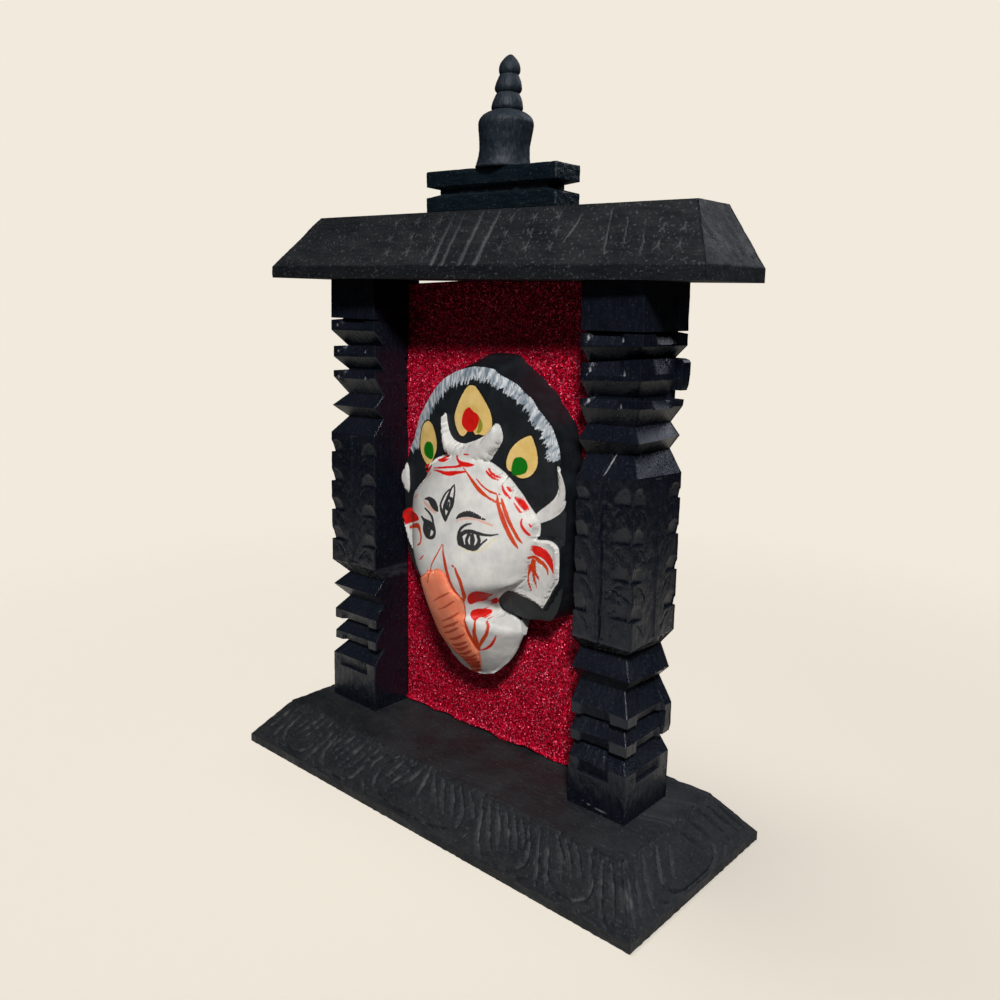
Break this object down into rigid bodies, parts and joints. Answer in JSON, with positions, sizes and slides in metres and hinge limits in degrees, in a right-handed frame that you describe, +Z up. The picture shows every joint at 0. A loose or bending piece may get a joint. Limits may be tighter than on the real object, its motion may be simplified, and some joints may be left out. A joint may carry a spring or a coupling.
{
  "type": "framed ganesha mask",
  "caption": "Small carved wooden gate on a base, with a painted elephant-deity mask on red cloth in its opening.",
  "frame": {"origin": "middle of the base's underside, on the surface that it stands on", "axes": "+Z up, +X along the gate to the viewer's right, -Y towards the front that the mask faces"},
  "size_m": [0.24, 0.0974, 0.3285],
  "materials": {
    "carved_base": "dusty matt black stain on carved wood",
    "roof_wood": "dusty matt black stain with scraped marks",
    "black_wood": "semi-gloss blue-black stain on carved wood",
    "board": "thin stained board",
    "cloth": "crimson velvet with glitter",
    "painted_mask": "brushed satin paint on papier-mache"
  },
  "bodies": {
    "root": {"base": "carved_base", "pillar_left": "black_wood", "pillar_right": "black_wood", "roof": "roof_wood", "roof_block": "black_wood", "stupa_finial": "black_wood", "back_board": "board", "red_cloth": "cloth", "mask": "painted_mask"}
  },
  "joints": []
}
